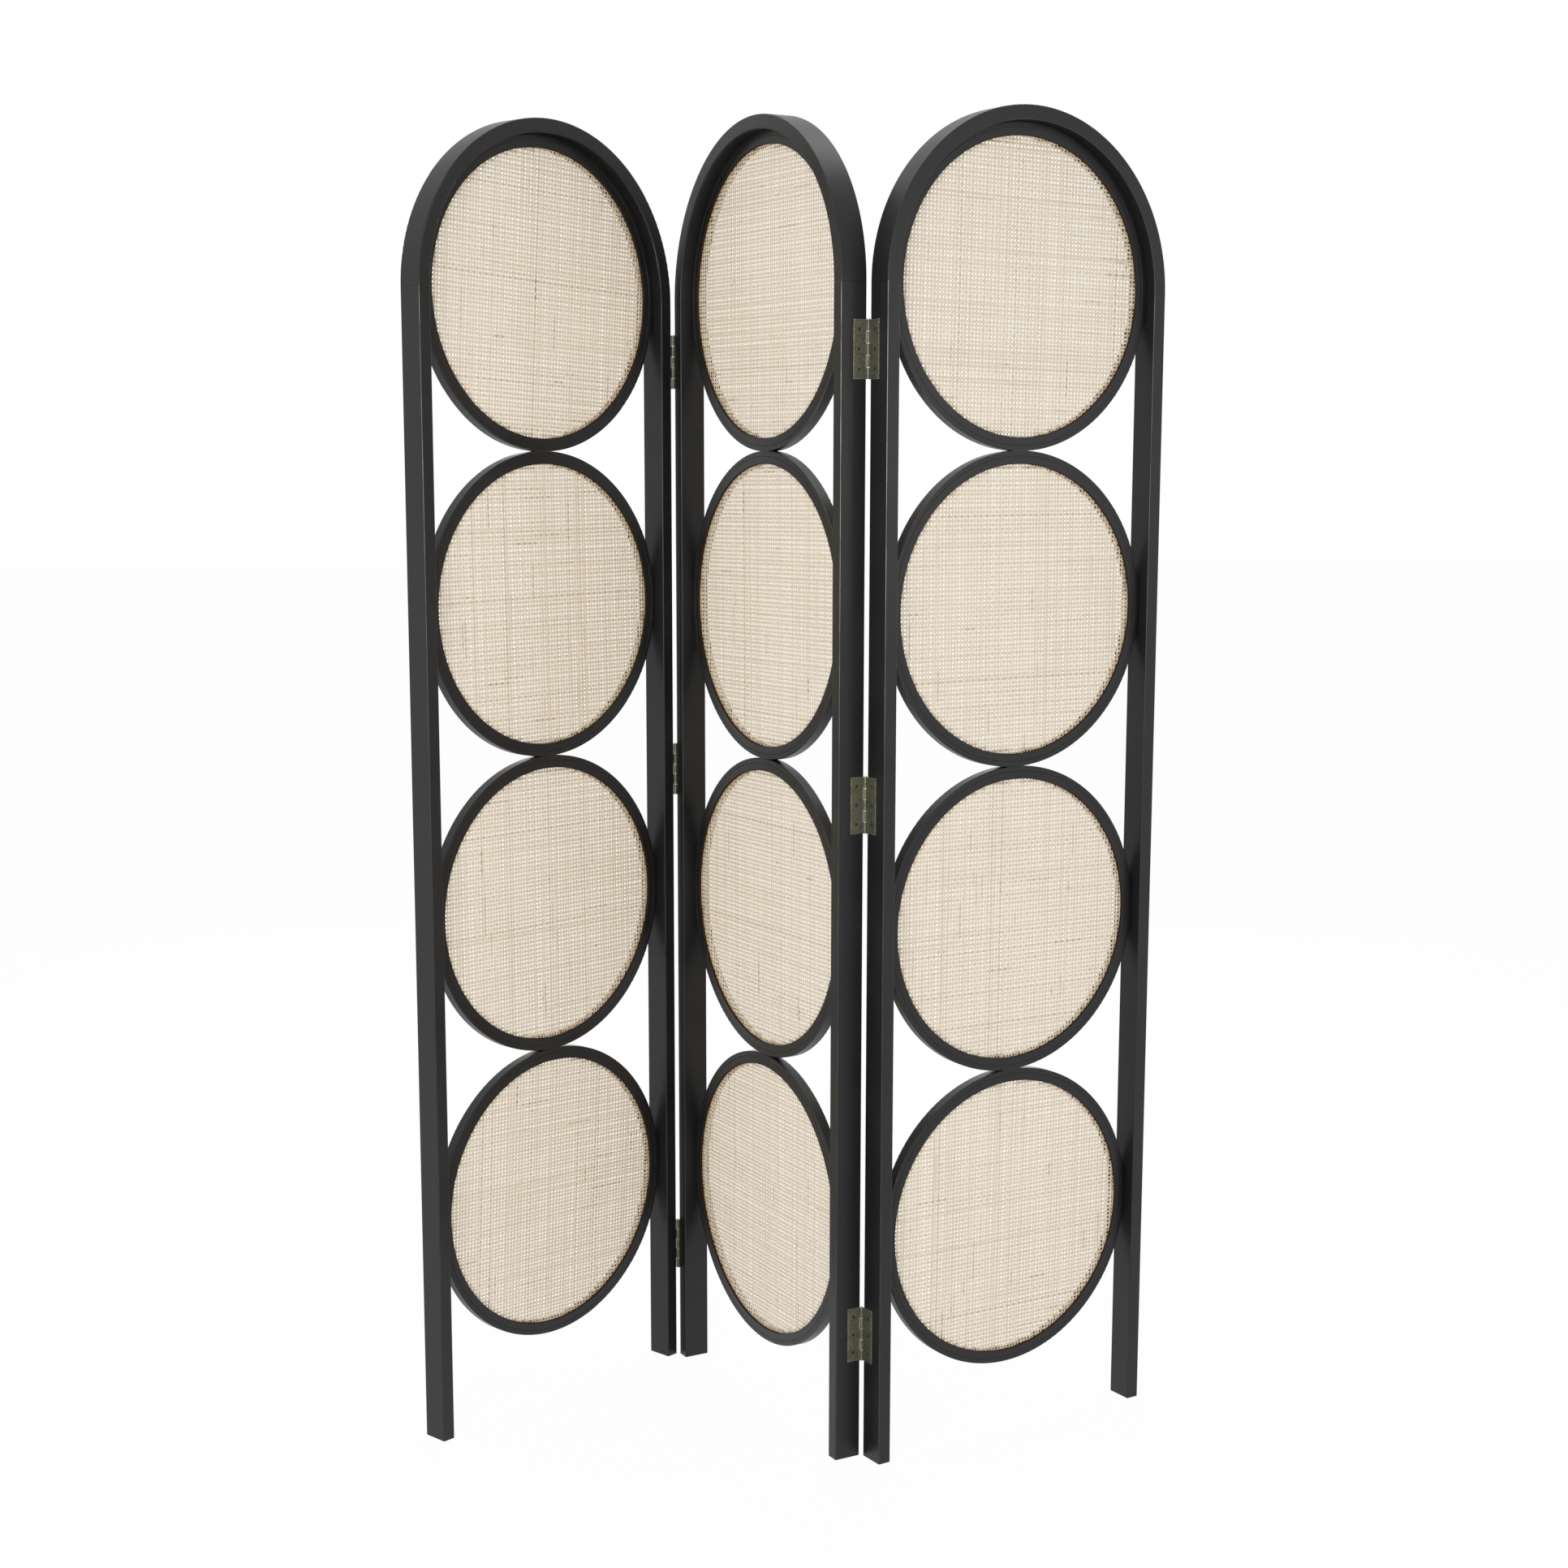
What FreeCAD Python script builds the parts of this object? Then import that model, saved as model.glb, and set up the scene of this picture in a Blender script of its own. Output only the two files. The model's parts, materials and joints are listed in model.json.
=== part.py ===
import FreeCAD
import Part
import Sketcher
import math
import os
from FreeCAD import Placement, Rotation, Vector

# A folding screen of three arched panels. Each panel has two posts, an arch and a stack of hoops that
# hold discs of cane webbing, and butt hinges join the panels at two folds. A panel's own frame has X
# along its width, Y from its front to its back and Z up from the floor.

# Driving dimensions in millimetres, and angles in degrees
SIZES = {
    "panel_width": 460,
    "foot_length": 95.7,
    "post_face": 19,
    "post_depth": 38,
    "edge_radius": 1.5,
    "joint_edge_radius": 0.4,
    "hoop_setback": 17.5,
    "hoop_face": 17.5,
    "hoop_depth": 15,
    "hoop_edge_radius": 1,
    "neck_width": 24,
    "glue_gap": 0.1,
    "ring_face": 10.5,
    "ring_edge_radius": 0.3,
    "ledge_thickness": 11,
    "web_thickness": 1.2,
    "web_margin": 1.5,
    "web_bar_width": 13,
    "dowel_diameter": 6,
    "dowel_hoop_hold": 7,
    "dowel_frame_hold": 13,
    "arch_dowel_diameter": 8,
    "arch_dowel_hold": 20,
    "arch_dowel_spacing": 18,
    "bore_clearance": 0.05,
    "bore_overrun": 0.5,
    "cut_overrun": 2,
    "hinge_height": 75,
    "hinge_low": 175,
    "hinge_drop": 84,
    "leaf_width": 21,
    "leaf_thickness": 1.2,
    "leaf_edge_radius": 0.3,
    "barrel_diameter": 5.2,
    "barrel_proud": 1,
    "knuckle_gap": 0.3,
    "knuckle_relief": 0.3,
    "pin_diameter": 2.5,
    "pin_clearance": 0.05,
    "pin_head_diameter": 4.2,
    "pin_head_height": 1,
    "screw_diameter": 3,
    "screw_head_diameter": 6,
    "screw_length": 14,
    "screw_tip": 3,
    "screw_pitch": 25,
    "screw_offset": 12.5,
    "screw_clearance": 0.05,
    "recess_width": 0.8,
    "recess_span": 3.4,
    "recess_depth": 0.7,
    "middle_heading_angle": -70,
    "left_fold_angle": 108,
    "right_fold_angle": 93,
}

# Sizes worked out from the driving dimensions
DERIVED = {
    "outer_radius": "Sizes.panel_width / 2",
    "clear_radius": "outer_radius - Sizes.post_face",
    "hoop_radius": "clear_radius - Sizes.glue_gap",
    "hoop_inner_radius": "hoop_radius - Sizes.hoop_face",
    "rebate_radius": "hoop_inner_radius + Sizes.ring_face",
    "rebate_depth": "Sizes.hoop_depth - Sizes.ledge_thickness",
    "ring_radius": "rebate_radius - Sizes.glue_gap",
    "ring_depth": "rebate_depth - Sizes.web_thickness",
    "web_radius": "rebate_radius - Sizes.web_margin",
    "web_setback": "Sizes.hoop_setback + ring_depth",
    "half_pitch": "sqrt(hoop_radius ^ 2 - (Sizes.neck_width / 2) ^ 2)",
    "hoop_pitch": "2 * half_pitch",
    "lowest_centre": "Sizes.foot_length + hoop_radius",
    "hoop_middle": "Sizes.hoop_setback + Sizes.hoop_depth / 2",
    "flat_cut_width": "2 * Sizes.neck_width",
    "flat_cut_depth": "Sizes.hoop_depth + 2 * Sizes.cut_overrun",
    "flat_cut_height": "hoop_radius - half_pitch + Sizes.cut_overrun",
    "dowel_radius": "Sizes.dowel_diameter / 2",
    "dowel_bore": "dowel_radius + Sizes.bore_clearance",
    "hoop_bore_length": "Sizes.dowel_hoop_hold + Sizes.bore_overrun + Sizes.cut_overrun",
    "frame_bore_length": "Sizes.dowel_frame_hold + Sizes.bore_overrun + Sizes.cut_overrun",
    "frame_dowel_length": "Sizes.dowel_frame_hold + Sizes.glue_gap + Sizes.dowel_hoop_hold",
    "neck_dowel_length": "2 * Sizes.dowel_hoop_hold",
    "arch_dowel_radius": "Sizes.arch_dowel_diameter / 2",
    "arch_dowel_bore": "arch_dowel_radius + Sizes.bore_clearance",
    "arch_dowel_length": "2 * Sizes.arch_dowel_hold",
    "arch_bore_length": "Sizes.arch_dowel_hold + Sizes.bore_overrun + Sizes.cut_overrun",
    "barrel_radius": "Sizes.barrel_diameter / 2",
    "knuckle_sweep": "barrel_radius + Sizes.knuckle_relief",
    "knuckle_reach": "sqrt(knuckle_sweep ^ 2 - (barrel_radius - Sizes.leaf_thickness) ^ 2)",
    "plate_width": "Sizes.leaf_width - knuckle_reach",
    "knuckle_pitch": "(Sizes.hinge_height + Sizes.knuckle_gap) / 5",
    "knuckle_length": "knuckle_pitch - Sizes.knuckle_gap",
    "knuckle_spacing": "2 * knuckle_pitch",
    "pin_radius": "Sizes.pin_diameter / 2",
    "pin_bore": "pin_radius + Sizes.pin_clearance",
    "pin_bore_length": "Sizes.hinge_height + 2 * Sizes.cut_overrun",
    "pin_head_radius": "Sizes.pin_head_diameter / 2",
    "screw_radius": "Sizes.screw_diameter / 2",
    "screw_head_radius": "Sizes.screw_head_diameter / 2",
    "screw_hole": "screw_radius + Sizes.screw_clearance",
    "screw_sink": "screw_head_radius + Sizes.screw_clearance",
    "screw_shank": "Sizes.screw_length - Sizes.leaf_thickness - Sizes.screw_tip",
    "screw_reach": "Sizes.screw_length - Sizes.leaf_thickness",
    "pilot_length": "screw_reach + Sizes.bore_overrun + Sizes.cut_overrun",
}

HOOP_COUNT = 4
# Openings of the webbing's grid in half the hoop's inner diameter
HALF_ROWS = 6
SCREWS_PER_LEAF = 3
# Knuckles are counted up the barrel: the middle panel's leaf has three of the five
MIDDLE_KNUCKLES = (0, 2, 4)
OUTER_KNUCKLES = (1, 3)
RIGHT, UP, BACK = Vector(1, 0, 0), Vector(0, 0, 1), Vector(0, 1, 0)

doc = FreeCAD.newDocument("folding_screen")
sheet = doc.addObject("Spreadsheet::Sheet", "Sizes")
for row, (alias, size) in enumerate(SIZES.items(), start=1):
    sheet.set(f"A{row}", alias)
    sheet.set(f"B{row}", str(size))
    sheet.setAlias(f"B{row}", alias)
doc.recompute()

derived = doc.addObject("App::VarSet", "Derived")
DERIVED["web_pitch"] = f"hoop_inner_radius / {HALF_ROWS}"
DERIVED["web_opening"] = "web_pitch - Sizes.web_bar_width"
DERIVED["stack_height"] = f"{HOOP_COUNT - 1} * hoop_pitch"
DERIVED["spring_height"] = "lowest_centre + stack_height"
DERIVED["screen_height"] = "spring_height + outer_radius"
DERIVED["hinge_middle"] = "screen_height / 2"
DERIVED["hinge_high"] = "spring_height - Sizes.hinge_drop"
for name, formula in DERIVED.items():
    derived.addProperty("App::PropertyFloat", name)
for name, formula in DERIVED.items():
    derived.setExpression(name, formula)
doc.recompute()


def number(name):
    """The value of a driving or derived size."""
    return float(sheet.get(name)) if name in SIZES else getattr(derived, name)


def bind(item, **sizes):
    """Tie an object's properties to sizes, by name."""
    for prop, name in sizes.items():
        item.setExpression(prop, f"Sizes.{name}" if name in SIZES else f"Derived.{name}")


def origin_part(body, role):
    """A plane or axis of a body's own origin."""
    return next(item for item in body.Origin.OriginFeatures if item.Role == role)


def tie_corner(sketch, line, kind, size, place, axis):
    """Hold one coordinate of a line's start to a size, or to an axis where the size is zero."""
    if size == "zero":
        sketch.addConstraint(Sketcher.Constraint("PointOnObject", line, 1, axis))
        return
    index = sketch.addConstraint(Sketcher.Constraint(kind, -1, 1, line, 1, place))
    bind(sketch, **{f"Constraints[{index}]": size})


def outline(body, corners):
    """A closed sketch on the body's XY plane, with each corner tied to two sizes."""
    sketch = body.newObject("Sketcher::SketchObject", "Outline")
    sketch.AttachmentSupport = (origin_part(body, "XY_Plane"), [""])
    sketch.MapMode = "FlatFace"
    points = [Vector(*[0 if size == "zero" else number(size) for size in corner]) for corner in corners]
    for start, end in zip(points, points[1:] + points[:1]):
        sketch.addGeometry(Part.LineSegment(start, end), False)
    for line, (point, (across, along)) in enumerate(zip(points, corners)):
        before = (line or len(points)) - 1
        sketch.addConstraint(Sketcher.Constraint("Coincident", line, 1, before, 2))
        tie_corner(sketch, line, "DistanceX", across, point.x, -2)
        tie_corner(sketch, line, "DistanceY", along, point.y, -1)
    return sketch


def revolve(body, sketch, degrees):
    """Turn a section about the body's Y axis, over the top."""
    turned = body.newObject("PartDesign::Revolution", "Turned")
    turned.Profile = sketch
    turned.ReferenceAxis = (sketch, ["V_Axis"])
    turned.Angle = degrees
    turned.Reversed = True
    sketch.Visibility = False


def round_edges(body, radius, chosen):
    """Round the edges of the body's tip that the given test picks."""
    doc.recompute()
    base = body.Tip
    rounding = body.newObject("PartDesign::Fillet", "Rounding")
    rounding.Base = (base, [f"Edge{i}" for i, edge in enumerate(base.Shape.Edges, 1) if chosen(edge)])
    bind(rounding, Radius=radius)


def on_circles(*circles):
    """A test for edges on circles about the Y axis, given as pairs of radius and depth."""
    wanted = [(0 if size == "zero" else number(size), number(radius)) for radius, size in circles]

    def chosen(edge):
        if not isinstance(edge.Curve, Part.Circle):
            return False
        depth, radius = edge.Curve.Center.y, edge.Curve.Radius
        away = [max(abs(depth - pair[0]), abs(radius - pair[1])) for pair in wanted]
        return min(away) < Part.Precision.confusion()

    return chosen


def bore(body, radius, length, mouth, inward):
    """A round hole from its mouth inwards; its length counts the overrun outside the mouth."""
    hole = body.newObject("PartDesign::SubtractiveCylinder", "Bore")
    bind(hole, Radius=radius, Height=length)
    hole.Placement = Placement(mouth - inward * number("cut_overrun"), Rotation(UP, inward))
    return hole


def repeat(body, features, axis, spacing, count):
    """A row of features along one of the body's axes."""
    row = body.newObject("PartDesign::LinearPattern", "Row")
    row.Originals = features
    row.Direction = (origin_part(body, axis), [""])
    row.Mode = "Spacing"
    bind(row, Offset=spacing)
    row.Occurrences = count
    body.Tip = row


def new_body(label, place):
    body = doc.addObject("PartDesign::Body", label)
    body.Label = label
    body.Placement = place
    return body


def make_post(label, place, side, hinge_edge):
    """A post that stands from the floor to the spring line of the arch."""
    face, depth, top = number("post_face"), number("post_depth"), number("spring_height")
    inner, inward = (Vector(face, 0, 0), -RIGHT) if side == "left" else (Vector(0, 0, 0), RIGHT)
    outer = Vector(face, 0, 0) - inner
    body = new_body(label, place)
    section = outline(body, [("zero", "zero"), ("post_face", "zero"),
                             ("post_face", "post_depth"), ("zero", "post_depth")])
    pad = body.newObject("PartDesign::Pad", "Length")
    pad.Profile = section
    bind(pad, Length="spring_height")
    joint = top - number("joint_edge_radius")
    round_edges(body, "edge_radius", lambda edge: edge.BoundBox.ZMin < top - number("edge_radius"))
    round_edges(body, "joint_edge_radius", lambda edge: edge.BoundBox.ZMin > joint)

    mouth = inner + BACK * number("hoop_middle") + UP * number("lowest_centre")
    hole = bore(body, "dowel_bore", "frame_bore_length", mouth, inward)
    repeat(body, [hole], "Z_Axis", "hoop_pitch", HOOP_COUNT - 1)

    first = (depth - number("arch_dowel_spacing")) / 2
    hole = bore(body, "arch_dowel_bore", "arch_bore_length", Vector(face / 2, first, top), -UP)
    repeat(body, [hole], "Y_Axis", "arch_dowel_spacing", 2)

    if hinge_edge:
        line = number("screw_offset") - number("barrel_proud")
        mouth = outer + BACK * (line if hinge_edge == "front" else depth - line)
        for level in ("hinge_low", "hinge_middle", "hinge_high"):
            lowest = UP * (number(level) - number("screw_pitch"))
            hole = bore(body, "screw_hole", "pilot_length", mouth + lowest, -inward)
            repeat(body, [hole], "Z_Axis", "screw_pitch", SCREWS_PER_LEAF)
    return body


def make_arch(label, place):
    """A half-round arch over both posts; its frame is at the arch's centre, on the front face."""
    body = new_body(label, place)
    section = outline(body, [("clear_radius", "zero"), ("outer_radius", "zero"),
                             ("outer_radius", "post_depth"), ("clear_radius", "post_depth")])
    revolve(body, section, 180)
    round_edges(body, "edge_radius", on_circles(("outer_radius", "zero"), ("outer_radius", "post_depth"),
                                                ("clear_radius", "zero"), ("clear_radius", "post_depth")))
    round_edges(body, "joint_edge_radius", lambda edge: edge.BoundBox.ZMax < number("joint_edge_radius"))
    first = (number("post_depth") - number("arch_dowel_spacing")) / 2
    middle = number("clear_radius") + number("post_face") / 2
    for across in (-middle, middle):
        hole = bore(body, "arch_dowel_bore", "arch_bore_length", Vector(across, first, 0), UP)
        repeat(body, [hole], "Y_Axis", "arch_dowel_spacing", 2)
    crown = Vector(0, number("hoop_middle"), number("clear_radius"))
    bore(body, "dowel_bore", "frame_bore_length", crown, UP)
    return body


def make_hoop(label, place, index):
    """A hoop with a rebate in its front, flats where it meets other hoops, and bores for its dowels."""
    body = new_body(label, place)
    section = outline(body, [("rebate_radius", "zero"), ("hoop_radius", "zero"),
                             ("hoop_radius", "hoop_depth"), ("hoop_inner_radius", "hoop_depth"),
                             ("hoop_inner_radius", "rebate_depth"), ("rebate_radius", "rebate_depth")])
    revolve(body, section, 360)
    round_edges(body, "hoop_edge_radius", on_circles(("hoop_radius", "zero"), ("hoop_radius", "hoop_depth"),
                                                     ("hoop_inner_radius", "hoop_depth")))
    round_edges(body, "ring_edge_radius", on_circles(("rebate_radius", "zero")))

    joined = [way for way, meets in ((UP, index > 1), (-UP, index < HOOP_COUNT)) if meets]
    for way in joined:
        flat = body.newObject("PartDesign::SubtractiveBox", "Flat")
        bind(flat, Length="flat_cut_width", Width="flat_cut_depth", Height="flat_cut_height")
        corner = Vector(-number("flat_cut_width") / 2, -number("cut_overrun"), number("half_pitch"))
        turn = Rotation(BACK, 0 if way.z > 0 else 180)
        flat.Placement = Placement(turn.multVec(corner), turn)

    reach = [(way, number("half_pitch")) for way in joined]
    reach += [(way, number("hoop_radius")) for way in ((UP,) if index == 1 else (RIGHT, -RIGHT))]
    for way, distance in reach:
        mouth = way * distance + BACK * (number("hoop_depth") / 2)
        bore(body, "dowel_bore", "hoop_bore_length", mouth, -way)
    return body


def make_webbing():
    """A disc of cane webbing that lies on the hoop's ledge, its weave given as a coarse grid of openings."""
    pitch, side, clear = number("web_pitch"), number("web_opening"), number("hoop_inner_radius")
    half_bar = number("web_bar_width") / 2
    wires = [Part.Wire(Part.makeCircle(number("web_radius")))]
    for row in range(-HALF_ROWS, HALF_ROWS):
        low = row * pitch + half_bar
        reach = max(abs(low), abs(low + side))
        half_count = math.floor((math.sqrt(clear ** 2 - reach ** 2) + half_bar) / pitch)
        for column in range(-half_count, half_count):
            opening = Part.makePlane(side, side, Vector(column * pitch + half_bar, low))
            wires.append(opening.OuterWire)
    net = doc.addObject("Part::Feature", "webbing_net")
    net.Shape = Part.makeFace(wires, "Part::FaceMakerBullseye")
    disc = doc.addObject("Part::Extrusion", "webbing_blank")
    disc.Base, disc.Solid = net, True
    disc.DirMode, disc.Dir = "Custom", UP
    bind(disc, LengthFwd="web_thickness")
    return disc


def make_ring():
    """A retaining ring that fills the hoop's rebate over the webbing, flush with the hoop's front."""
    body = new_body("ring_blank", Placement())
    section = outline(body, [("hoop_inner_radius", "zero"), ("ring_radius", "zero"),
                             ("ring_radius", "ring_depth"), ("hoop_inner_radius", "ring_depth")])
    revolve(body, section, 360)
    round_edges(body, "hoop_edge_radius", on_circles(("hoop_inner_radius", "zero")))
    round_edges(body, "ring_edge_radius", on_circles(("ring_radius", "zero")))
    return body


def make_dowel(label, radius, length):
    dowel = doc.addObject("Part::Cylinder", label)
    bind(dowel, Radius=radius, Height=length)
    return dowel


def make_leaf(label, place, knuckles):
    """A hinge leaf. Its frame has the pin on Z at mid height, the plate along X and the post beyond -Y."""
    body = new_body(label, place)
    skin, low = -number("barrel_radius"), -number("hinge_height") / 2
    plate = body.newObject("PartDesign::AdditiveBox", "Plate")
    bind(plate, Length="plate_width", Width="leaf_thickness", Height="hinge_height")
    plate.Placement = Placement(Vector(number("knuckle_reach"), skin, low), Rotation())
    face, free_edge = skin + number("leaf_thickness"), number("leaf_width")
    half = number("leaf_thickness") / 2
    round_edges(body, "leaf_edge_radius", lambda edge: edge.BoundBox.YMin > face - half
                and edge.BoundBox.XMax > free_edge - half)

    start = low + knuckles[0] * number("knuckle_pitch")
    web = body.newObject("PartDesign::AdditiveBox", "Web")
    bind(web, Length="knuckle_reach", Width="leaf_thickness", Height="knuckle_length")
    web.Placement = Placement(Vector(0, skin, start), Rotation())
    knuckle = body.newObject("PartDesign::AdditiveCylinder", "Knuckle")
    bind(knuckle, Radius="barrel_radius", Height="knuckle_length")
    knuckle.Placement = Placement(Vector(0, 0, start), Rotation())
    repeat(body, [web, knuckle], "Z_Axis", "knuckle_spacing", len(knuckles))
    bore(body, "pin_bore", "pin_bore_length", Vector(0, 0, low), UP)

    sink = body.newObject("PartDesign::SubtractiveCone", "Countersink")
    bind(sink, Radius1="screw_hole", Radius2="screw_sink", Height="leaf_thickness")
    lowest = Vector(number("screw_offset"), skin, -number("screw_pitch"))
    sink.Placement = Placement(lowest, Rotation(UP, BACK))
    repeat(body, [sink], "Z_Axis", "screw_pitch", SCREWS_PER_LEAF)
    return body


def make_pin():
    """A hinge pin with a flat head that rests on the top knuckle."""
    shank = doc.addObject("Part::Cylinder", "pin_shank")
    bind(shank, Radius="pin_radius", Height="hinge_height")
    shank.Placement = Placement(UP * (-number("hinge_height") / 2), Rotation())
    head = doc.addObject("Part::Cylinder", "pin_head")
    bind(head, Radius="pin_head_radius", Height="pin_head_height")
    head.Placement = Placement(UP * (number("hinge_height") / 2), Rotation())
    pin = doc.addObject("Part::Fuse", "pin_blank")
    pin.Base, pin.Tool = shank, head
    return pin


def make_screw():
    """A countersunk wood screw that points down, its head flush with Z = 0, with a cross recess."""
    sunk, shank_end = number("leaf_thickness"), number("leaf_thickness") + number("screw_shank")
    head = doc.addObject("Part::Cone", "screw_head")
    bind(head, Radius1="screw_radius", Radius2="screw_head_radius", Height="leaf_thickness")
    head.Placement = Placement(-UP * sunk, Rotation())
    shank = doc.addObject("Part::Cylinder", "screw_shank_rod")
    bind(shank, Radius="screw_radius", Height="screw_shank")
    shank.Placement = Placement(-UP * shank_end, Rotation())
    tip = doc.addObject("Part::Cone", "screw_tip_cone")
    bind(tip, Radius2="screw_radius", Height="screw_tip")
    tip.Radius1 = 0
    tip.Placement = Placement(-UP * number("screw_length"), Rotation())
    solid = doc.addObject("Part::MultiFuse", "screw_solid")
    solid.Shapes = [head, shank, tip]
    slots = []
    for turn in (0, 90):
        slot = doc.addObject("Part::Box", "screw_slot")
        bind(slot, Length="recess_span", Width="recess_width", Height="recess_depth")
        spin = Rotation(UP, turn)
        corner = Vector(-number("recess_span") / 2, -number("recess_width") / 2, -number("recess_depth"))
        slot.Placement = Placement(spin.multVec(corner), spin)
        slots.append(slot)
    recess = doc.addObject("Part::MultiFuse", "screw_recess")
    recess.Shapes = slots
    screw = doc.addObject("Part::Cut", "screw_blank")
    screw.Base, screw.Tool = solid, recess
    return screw


def make_group(label, place, members):
    """One node of separate solids, given as pairs of a blank and its place in the group."""
    solids = []
    for blank, spot in members:
        solid = blank.Shape.copy()
        solid.Placement = spot.multiply(solid.Placement)
        solids.append(solid)
    group = doc.addObject("Part::Feature", label)
    group.Label = label
    group.Shape = Part.makeCompound(solids)
    group.Placement = place
    return group


def swung(parent, parent_axis, own_axis, angle):
    """The place of a panel turned on a fold, from the fold's axis in both panels' frames."""
    turn = parent.Rotation.multiply(Rotation(UP, angle))
    return Placement(parent.multVec(parent_axis) - turn.multVec(own_axis), turn)


def panel_places():
    """Where the panels stand, with the middle of their footprint's box at the origin."""
    width, depth, radius = number("panel_width"), number("post_depth"), number("edge_radius")
    near, far = -number("barrel_radius"), width + number("barrel_radius")
    front, back = -number("barrel_proud"), depth + number("barrel_proud")
    middle = Placement(Vector(), Rotation(UP, number("middle_heading_angle")))
    left = swung(middle, Vector(near, front), Vector(far, front), number("left_fold_angle"))
    right = swung(middle, Vector(far, back), Vector(near, back), number("right_fold_angle"))
    places = {"left": left, "middle": middle, "right": right}
    corners = [place.multVec(Vector(x, y)) for place in places.values()
               for x in (radius, width - radius) for y in (radius, depth - radius)]
    centre = Vector(*[(min(values) + max(values)) / 2 for values in zip(*corners)])
    for place in places.values():
        place.Base = place.Base - centre
    return places


def dowel_spots():
    """Each dowel of a panel: its blank and its place in the panel's frame."""
    middle, clear = number("outer_radius"), number("clear_radius")
    hold, grip = number("dowel_hoop_hold"), number("dowel_frame_hold")
    depth = number("hoop_middle")
    spots = []
    for index in range(1, HOOP_COUNT):
        centre = Vector(middle, depth, hoop_height(index + 1))
        for way in (-RIGHT, RIGHT):
            start = centre + way * (number("hoop_radius") - hold)
            spots.append((frame_dowel, Placement(start, Rotation(UP, way))))
        top = centre + UP * (number("half_pitch") - hold)
        spots.append((neck_dowel, Placement(top, Rotation())))
    crown = Vector(middle, depth, number("spring_height") + number("hoop_radius") - hold)
    spots.append((frame_dowel, Placement(crown, Rotation())))
    foot = number("spring_height") - number("arch_dowel_hold")
    for across in (number("post_face") / 2, number("panel_width") - number("post_face") / 2):
        for way in (-1, 1):
            along = (number("post_depth") + way * number("arch_dowel_spacing")) / 2
            spots.append((arch_dowel, Placement(Vector(across, along, foot), Rotation())))
    return spots


def hoop_height(index):
    """The height of a hoop's centre; hoop 1 is the top one."""
    return number("lowest_centre") + (HOOP_COUNT - index) * number("hoop_pitch")


def make_panel(panel, place, hinge_edges):
    """All the wood, webbing and dowels of one panel."""
    face, width = number("post_face"), number("panel_width")
    starts = {"left": Vector(), "right": Vector(width - face)}
    pieces = []
    for side, start in starts.items():
        spot = place.multiply(Placement(start, Rotation()))
        pieces.append(make_post(f"{panel}_{side}_post", spot, side, hinge_edges.get(side)))
    centre = Vector(width / 2, 0, number("spring_height"))
    pieces.append(make_arch(f"{panel}_arch", place.multiply(Placement(centre, Rotation()))))
    rings = []
    for index in range(1, HOOP_COUNT + 1):
        centre = Vector(width / 2, number("hoop_setback"), hoop_height(index))
        spot = Placement(centre, Rotation())
        pieces.append(make_hoop(f"{panel}_hoop_{index}", place.multiply(spot), index))
        seat = Placement(centre + BACK * number("ring_depth"), Rotation(UP, BACK))
        disc = [(webbing_blank, Placement())]
        pieces.append(make_group(f"{panel}_webbing_{index}", place.multiply(seat), disc))
        rings.append((ring_blank, spot))
    pieces.append(make_group(f"{panel}_retaining_rings", place, rings))
    pieces.append(make_group(f"{panel}_dowels", place, dowel_spots()))
    return pieces


def leaf_place(side, hinge_edge, level):
    """A leaf's place on the outer face of a panel's left or right post, in the panel's frame."""
    away, proud = number("barrel_radius"), number("barrel_proud")
    across = -away if side == "left" else number("panel_width") + away
    along = -proud if hinge_edge == "front" else number("post_depth") + proud
    plate = BACK if hinge_edge == "front" else -BACK
    outwards = -RIGHT if side == "left" else RIGHT
    turn = Rotation(plate, outwards, plate.cross(outwards), "ZXY")
    return Placement(Vector(across, along, number(level)), turn)


def make_fold(fold, panels, hinge_edge, places):
    """The three hinges of a fold: two leaves each, their pins and their screws."""
    levels = {"bottom": "hinge_low", "middle": "hinge_middle", "top": "hinge_high"}
    pieces, pins = [], []
    for panel, side, knuckles in panels:
        screws = []
        for name, level in levels.items():
            spot = leaf_place(side, hinge_edge, level)
            label = f"{fold}_{name}_leaf_{panel}"
            pieces.append(make_leaf(label, places[panel].multiply(spot), knuckles))
            for step in range(SCREWS_PER_LEAF):
                head = Vector(number("screw_offset"), number("leaf_thickness") - number("barrel_radius"),
                              (step - 1) * number("screw_pitch"))
                screws.append((screw_blank, spot.multiply(Placement(head, Rotation(UP, BACK)))))
            if knuckles == MIDDLE_KNUCKLES:
                pins.append((pin_blank, Placement(spot.Base, Rotation())))
        pieces.append(make_group(f"{fold}_screws_{panel}", places[panel], screws))
    pieces.append(make_group(f"{fold}_pins", places["middle"], pins))
    return pieces


webbing_blank = make_webbing()
ring_blank = make_ring()
frame_dowel = make_dowel("frame_dowel_blank", "dowel_radius", "frame_dowel_length")
neck_dowel = make_dowel("neck_dowel_blank", "dowel_radius", "neck_dowel_length")
arch_dowel = make_dowel("arch_dowel_blank", "arch_dowel_radius", "arch_dowel_length")
pin_blank = make_pin()
screw_blank = make_screw()
doc.recompute()

places = panel_places()
pieces = make_panel("left", places["left"], {"right": "front"})
pieces += make_panel("middle", places["middle"], {"left": "front", "right": "back"})
pieces += make_panel("right", places["right"], {"left": "back"})
left_fold = [("left", "right", OUTER_KNUCKLES), ("middle", "left", MIDDLE_KNUCKLES)]
right_fold = [("middle", "right", MIDDLE_KNUCKLES), ("right", "left", OUTER_KNUCKLES)]
pieces += make_fold("left_fold", left_fold, "front", places)
pieces += make_fold("right_fold", right_fold, "back", places)
doc.recompute()

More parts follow.
